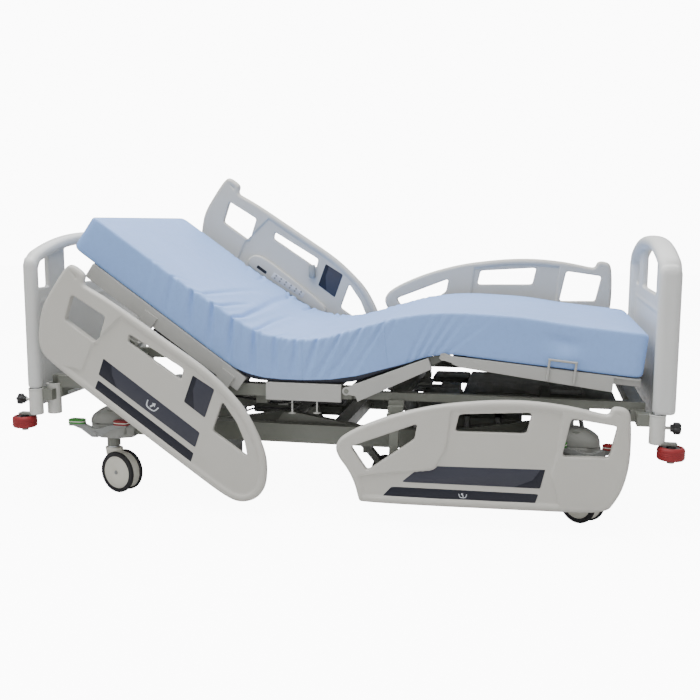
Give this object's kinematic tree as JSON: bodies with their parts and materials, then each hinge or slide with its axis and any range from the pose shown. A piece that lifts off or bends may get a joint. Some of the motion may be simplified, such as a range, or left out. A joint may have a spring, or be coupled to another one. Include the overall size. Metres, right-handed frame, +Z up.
{
  "type": "adjustable hospital bed",
  "caption": "Adjustable hospital bed: castor base, lifting and tilting frame, folding platform with mattress, end boards and swing-down side rails.",
  "frame": {"origin": "on the floor, midway between the head and foot posts, on the bed's centre plane", "axes": "+X towards the foot end, +Y towards the far side as the head lies on the left, +Z up"},
  "size_m": [2.296, 1.024, 1.1591],
  "materials": {
    "frame_paint": "satin grey powder coat",
    "deck_paint": "satin light grey powder coat",
    "shell_plastic": "fine-textured warm grey moulding",
    "board_plastic": "fine-textured light grey moulding",
    "mattress_cover": "coated stretch cover, soft sheen",
    "tyre_rubber": "matt",
    "steel": "turned",
    "pedal_paint": "satin",
    "bumper_rubber": "satin",
    "dark_plastic": "semi-gloss",
    "drive_plastic": "semi-matt"
  },
  "bodies": {
    "base": {"base_frame": "frame_paint", "corner_cover_head_near": "shell_plastic", "corner_cover_head_far": "shell_plastic", "corner_cover_foot_near": "shell_plastic", "corner_cover_foot_far": "shell_plastic", "lift_actuator_body": "drive_plastic"},
    "castor_fork_head_near": {"castor_fork_head_near": "drive_plastic"},
    "castor_wheel_head_near": {"castor_wheel_head_near": "tyre_rubber"},
    "castor_fork_head_far": {"castor_fork_head_far": "drive_plastic"},
    "castor_wheel_head_far": {"castor_wheel_head_far": "tyre_rubber"},
    "castor_fork_foot_near": {"castor_fork_foot_near": "drive_plastic"},
    "castor_wheel_foot_near": {"castor_wheel_foot_near": "tyre_rubber"},
    "castor_fork_foot_far": {"castor_fork_foot_far": "drive_plastic"},
    "castor_wheel_foot_far": {"castor_wheel_foot_far": "tyre_rubber"},
    "brake_treadle_head": {"brake_treadle_head": "pedal_paint"},
    "brake_treadle_foot": {"brake_treadle_foot": "pedal_paint"},
    "fifth_wheel_arm": {"fifth_wheel_arm": "frame_paint"},
    "fifth_wheel": {"fifth_wheel": "tyre_rubber"},
    "head_lift_arm": {"head_lift_arm": "frame_paint"},
    "head_yoke": {"head_yoke": "frame_paint"},
    "foot_lift_arm": {"foot_lift_arm": "frame_paint"},
    "jack_tube": {"jack_tube": "drive_plastic"},
    "jack_rod": {"jack_rod": "steel"},
    "lift_actuator_rod": {"lift_actuator_rod": "steel"},
    "upper_frame": {"upper_frame": "frame_paint", "control_box": "drive_plastic", "seat_section": "deck_paint", "mattress_seat": "mattress_cover", "back_actuator_body": "drive_plastic", "knee_actuator_body": "drive_plastic"},
    "headboard": {"headboard": "board_plastic"},
    "bumper_wheel_head_near": {"bumper_wheel_head_near": "bumper_rubber"},
    "clamp_knob_head_near": {"clamp_knob_head_near": "dark_plastic"},
    "bumper_wheel_head_far": {"bumper_wheel_head_far": "bumper_rubber"},
    "clamp_knob_head_far": {"clamp_knob_head_far": "dark_plastic"},
    "footboard": {"footboard": "board_plastic"},
    "bumper_wheel_foot_near": {"bumper_wheel_foot_near": "bumper_rubber"},
    "clamp_knob_foot_near": {"clamp_knob_foot_near": "dark_plastic"},
    "bumper_wheel_foot_far": {"bumper_wheel_foot_far": "bumper_rubber"},
    "clamp_knob_foot_far": {"clamp_knob_foot_far": "dark_plastic"},
    "back": {"back_section": "deck_paint", "mattress_back": "mattress_cover"},
    "thigh": {"thigh_section": "deck_paint", "mattress_thigh": "mattress_cover"},
    "calf": {"calf_section": "deck_paint", "mattress_calf": "mattress_cover"},
    "back_actuator_rod": {"back_actuator_rod": "steel"},
    "knee_actuator_rod": {"knee_actuator_rod": "steel"},
    "head_rail_near": {"head_rail_near": "shell_plastic"},
    "head_rail_near_upper_arm": {"head_rail_near_upper_arm": "frame_paint"},
    "head_rail_near_lower_arm": {"head_rail_near_lower_arm": "frame_paint"},
    "head_rail_far": {"head_rail_far": "shell_plastic"},
    "head_rail_far_upper_arm": {"head_rail_far_upper_arm": "frame_paint"},
    "head_rail_far_lower_arm": {"head_rail_far_lower_arm": "frame_paint"},
    "foot_rail_near": {"foot_rail_near": "shell_plastic"},
    "foot_rail_near_upper_arm": {"foot_rail_near_upper_arm": "frame_paint"},
    "foot_rail_near_lower_arm": {"foot_rail_near_lower_arm": "frame_paint"},
    "foot_rail_far": {"foot_rail_far": "shell_plastic"},
    "foot_rail_far_upper_arm": {"foot_rail_far_upper_arm": "frame_paint"},
    "foot_rail_far_lower_arm": {"foot_rail_far_lower_arm": "frame_paint"}
  },
  "joints": [
    {"name": "castor_swivel_head_near", "type": "hinge", "parent": "base", "child": "castor_fork_head_near", "pos_m": [-0.82, -0.345, 0.163], "axis": [0, 0, 1], "continuous": true},
    {"name": "castor_roll_head_near", "type": "hinge", "parent": "castor_fork_head_near", "child": "castor_wheel_head_near", "pos_m": [-0.78671, -0.35582, 0.075], "axis": [0.309, 0.9511, 0], "continuous": true},
    {"name": "castor_swivel_head_far", "type": "hinge", "parent": "base", "child": "castor_fork_head_far", "pos_m": [-0.82, 0.345, 0.163], "axis": [0, 0, 1], "continuous": true},
    {"name": "castor_roll_head_far", "type": "hinge", "parent": "castor_fork_head_far", "child": "castor_wheel_head_far", "pos_m": [-0.78828, 0.35979, 0.075], "axis": [-0.4226, 0.9063, 0], "continuous": true},
    {"name": "castor_swivel_foot_near", "type": "hinge", "parent": "base", "child": "castor_fork_foot_near", "pos_m": [0.82, -0.345, 0.163], "axis": [0, 0, 1], "continuous": true},
    {"name": "castor_roll_foot_near", "type": "hinge", "parent": "castor_fork_foot_near", "child": "castor_wheel_foot_near", "pos_m": [0.84601, -0.36842, 0.075], "axis": [0.6691, 0.7431, 0], "continuous": true},
    {"name": "castor_swivel_foot_far", "type": "hinge", "parent": "base", "child": "castor_fork_foot_far", "pos_m": [0.82, 0.345, 0.163], "axis": [0, 0, 1], "continuous": true},
    {"name": "castor_roll_foot_far", "type": "hinge", "parent": "castor_fork_foot_far", "child": "castor_wheel_foot_far", "pos_m": [0.85424, 0.35228, 0.075], "axis": [-0.2079, 0.9781, 0], "continuous": true},
    {"name": "brake_head", "type": "hinge", "parent": "base", "child": "brake_treadle_head", "pos_m": [-0.862, 0, 0.222], "axis": [0, 1, 0], "range_deg": [-12, 12]},
    {"name": "brake_foot", "type": "hinge", "parent": "base", "child": "brake_treadle_foot", "pos_m": [0.862, 0, 0.222], "axis": [0, 1, 0], "range_deg": [-12, 12]},
    {"name": "fifth_wheel_lift", "type": "hinge", "parent": "base", "child": "fifth_wheel_arm", "pos_m": [-0.004, -0.029, 0.185], "axis": [0, -1, 0], "range_deg": [0, 10]},
    {"name": "fifth_wheel_roll", "type": "hinge", "parent": "fifth_wheel_arm", "child": "fifth_wheel", "pos_m": [0.134, -0.029, 0.05], "axis": [0, 1, 0], "continuous": true},
    {"name": "lift", "type": "hinge", "parent": "base", "child": "head_lift_arm", "pos_m": [-0.165, 0, 0.285], "axis": [0, 1, 0], "range_deg": [0, 49]},
    {"name": "yoke_level", "type": "hinge", "parent": "head_lift_arm", "child": "head_yoke", "pos_m": [-0.636, 0, 0.21], "axis": [0, 1, 0], "range_deg": [-49.5, 0.5]},
    {"name": "foot_lift", "type": "hinge", "parent": "base", "child": "foot_lift_arm", "pos_m": [0.7, 0, 0.285], "axis": [0, 1, 0], "range_deg": [-0.5, 49.5]},
    {"name": "jack_level", "type": "hinge", "parent": "foot_lift_arm", "child": "jack_tube", "pos_m": [0.229, 0, 0.21], "axis": [0, 1, 0], "range_deg": [-49.5, 0.5]},
    {"name": "lift_rod", "type": "slide", "parent": "base", "child": "lift_actuator_rod", "axis": [-1, 0, 0], "range_m": [-0.001, 0.092]},
    {"name": "tilt", "type": "hinge", "parent": "head_yoke", "child": "upper_frame", "pos_m": [-0.636, 0, 0.21], "axis": [0, -1, 0], "range_deg": [0, 12]},
    {"name": "jack", "type": "slide", "parent": "jack_tube", "child": "jack_rod", "axis": [0, 0, 1], "range_m": [-0.001, 0.195]},
    {"name": "headboard_lift_off", "type": "slide", "parent": "upper_frame", "child": "headboard", "axis": [0, 0, 1], "range_m": [0, 0.12]},
    {"name": "bumper_head_near", "type": "hinge", "parent": "upper_frame", "child": "bumper_wheel_head_near", "pos_m": [-1.105, -0.46, 0.267], "axis": [0, 0, 1], "continuous": true},
    {"name": "knob_head_near", "type": "hinge", "parent": "upper_frame", "child": "clamp_knob_head_near", "pos_m": [-1.115, -0.452, 0.346], "axis": [-1, 0, 0], "continuous": true},
    {"name": "bumper_head_far", "type": "hinge", "parent": "upper_frame", "child": "bumper_wheel_head_far", "pos_m": [-1.105, 0.46, 0.267], "axis": [0, 0, 1], "continuous": true},
    {"name": "knob_head_far", "type": "hinge", "parent": "upper_frame", "child": "clamp_knob_head_far", "pos_m": [-1.115, 0.452, 0.346], "axis": [-1, 0, 0], "continuous": true},
    {"name": "footboard_lift_off", "type": "slide", "parent": "upper_frame", "child": "footboard", "axis": [0, 0, 1], "range_m": [0, 0.12]},
    {"name": "bumper_foot_near", "type": "hinge", "parent": "upper_frame", "child": "bumper_wheel_foot_near", "pos_m": [1.105, -0.46, 0.267], "axis": [0, 0, 1], "continuous": true},
    {"name": "knob_foot_near", "type": "hinge", "parent": "upper_frame", "child": "clamp_knob_foot_near", "pos_m": [1.115, -0.452, 0.346], "axis": [1, 0, 0], "continuous": true},
    {"name": "bumper_foot_far", "type": "hinge", "parent": "upper_frame", "child": "bumper_wheel_foot_far", "pos_m": [1.105, 0.46, 0.267], "axis": [0, 0, 1], "continuous": true},
    {"name": "knob_foot_far", "type": "hinge", "parent": "upper_frame", "child": "clamp_knob_foot_far", "pos_m": [1.115, 0.452, 0.346], "axis": [1, 0, 0], "continuous": true},
    {"name": "back_raise", "type": "hinge", "parent": "upper_frame", "child": "back", "pos_m": [-0.25, 0, 0.5], "axis": [0, 1, 0], "range_deg": [-35, 35]},
    {"name": "back_rod", "type": "slide", "parent": "upper_frame", "child": "back_actuator_rod", "axis": [-1, 0, 0], "range_m": [-0.112, 0.112]},
    {"name": "knee_raise", "type": "hinge", "parent": "upper_frame", "child": "thigh", "pos_m": [0.062, 0, 0.415], "axis": [0, -1, 0], "range_deg": [-21.6, 13.4]},
    {"name": "knee_rod", "type": "slide", "parent": "upper_frame", "child": "knee_actuator_rod", "axis": [1, 0, 0], "range_m": [-0.032, 0.02]},
    {"name": "calf_fold", "type": "hinge", "parent": "thigh", "child": "calf", "pos_m": [0.385, 0, 0.543], "axis": [0, 1, 0], "range_deg": [-28, 18]},
    {"name": "head_rail_near_swing", "type": "hinge", "parent": "back", "child": "head_rail_near_upper_arm", "pos_m": [-0.38703, -0.44, 0.41139], "axis": [-0.8192, 0, 0.5736], "range_deg": [0, 163.2]},
    {"name": "head_rail_near_level", "type": "hinge", "parent": "head_rail_near_upper_arm", "child": "head_rail_near", "pos_m": [-0.50392, -0.47009, 0.24446], "axis": [-0.8192, 0, 0.5736], "range_deg": [-163.7, 0.5]},
    {"name": "head_rail_near_follow", "type": "hinge", "parent": "back", "child": "head_rail_near_lower_arm", "pos_m": [-0.69422, -0.44, 0.56545], "axis": [-0.8192, 0, 0.5736], "range_deg": [-0.5, 163.7]},
    {"name": "head_rail_far_swing", "type": "hinge", "parent": "back", "child": "head_rail_far_upper_arm", "pos_m": [-0.38703, 0.44, 0.41139], "axis": [-0.8192, 0, 0.5736], "range_deg": [0, 163.2]},
    {"name": "head_rail_far_level", "type": "hinge", "parent": "head_rail_far_upper_arm", "child": "head_rail_far", "pos_m": [-0.27014, 0.47009, 0.57833], "axis": [-0.8192, 0, 0.5736], "range_deg": [-163.7, 0.5]},
    {"name": "head_rail_far_follow", "type": "hinge", "parent": "back", "child": "head_rail_far_lower_arm", "pos_m": [-0.69422, 0.44, 0.56545], "axis": [-0.8192, 0, 0.5736], "range_deg": [-0.5, 163.7]},
    {"name": "foot_rail_near_swing", "type": "hinge", "parent": "upper_frame", "child": "foot_rail_near_upper_arm", "pos_m": [0.23, -0.44, 0.34], "axis": [-1, 0, 0], "range_deg": [0, 163.2]},
    {"name": "foot_rail_near_level", "type": "hinge", "parent": "foot_rail_near_upper_arm", "child": "foot_rail_near", "pos_m": [0.23, -0.47009, 0.13621], "axis": [-1, 0, 0], "range_deg": [-163.7, 0.5]},
    {"name": "foot_rail_near_follow", "type": "hinge", "parent": "upper_frame", "child": "foot_rail_near_lower_arm", "pos_m": [0.74, -0.44, 0.29], "axis": [-1, 0, 0], "range_deg": [-0.5, 163.7]},
    {"name": "foot_rail_far_swing", "type": "hinge", "parent": "upper_frame", "child": "foot_rail_far_upper_arm", "pos_m": [0.23, 0.44, 0.34], "axis": [-1, 0, 0], "range_deg": [0, 163.2]},
    {"name": "foot_rail_far_level", "type": "hinge", "parent": "foot_rail_far_upper_arm", "child": "foot_rail_far", "pos_m": [0.23, 0.47009, 0.54379], "axis": [-1, 0, 0], "range_deg": [-163.7, 0.5]},
    {"name": "foot_rail_far_follow", "type": "hinge", "parent": "upper_frame", "child": "foot_rail_far_lower_arm", "pos_m": [0.74, 0.44, 0.29], "axis": [-1, 0, 0], "range_deg": [-0.5, 163.7]}
  ],
  "couplings": [
    {"joint": "brake_foot", "follows": "brake_head", "ratio": -1},
    {"joint": "yoke_level", "follows": "lift", "ratio": -1},
    {"joint": "foot_lift", "follows": "lift", "ratio": 1},
    {"joint": "jack_level", "follows": "lift", "ratio": -1},
    {"joint": "lift_rod", "follows": "lift", "m_per_rad": 0.1055},
    {"joint": "jack", "follows": "tilt", "m_per_rad": 0.89},
    {"joint": "back_rod", "follows": "back_raise", "m_per_rad": 0.178},
    {"joint": "knee_rod", "follows": "knee_raise", "m_per_rad": 0.076},
    {"joint": "calf_fold", "follows": "knee_raise", "ratio": 1.245},
    {"joint": "head_rail_near_level", "follows": "head_rail_near_swing", "ratio": -1},
    {"joint": "head_rail_near_follow", "follows": "head_rail_near_swing", "ratio": 1},
    {"joint": "head_rail_far_level", "follows": "head_rail_far_swing", "ratio": -1},
    {"joint": "head_rail_far_follow", "follows": "head_rail_far_swing", "ratio": 1},
    {"joint": "foot_rail_near_level", "follows": "foot_rail_near_swing", "ratio": -1},
    {"joint": "foot_rail_near_follow", "follows": "foot_rail_near_swing", "ratio": 1},
    {"joint": "foot_rail_far_level", "follows": "foot_rail_far_swing", "ratio": -1},
    {"joint": "foot_rail_far_follow", "follows": "foot_rail_far_swing", "ratio": 1}
  ]
}
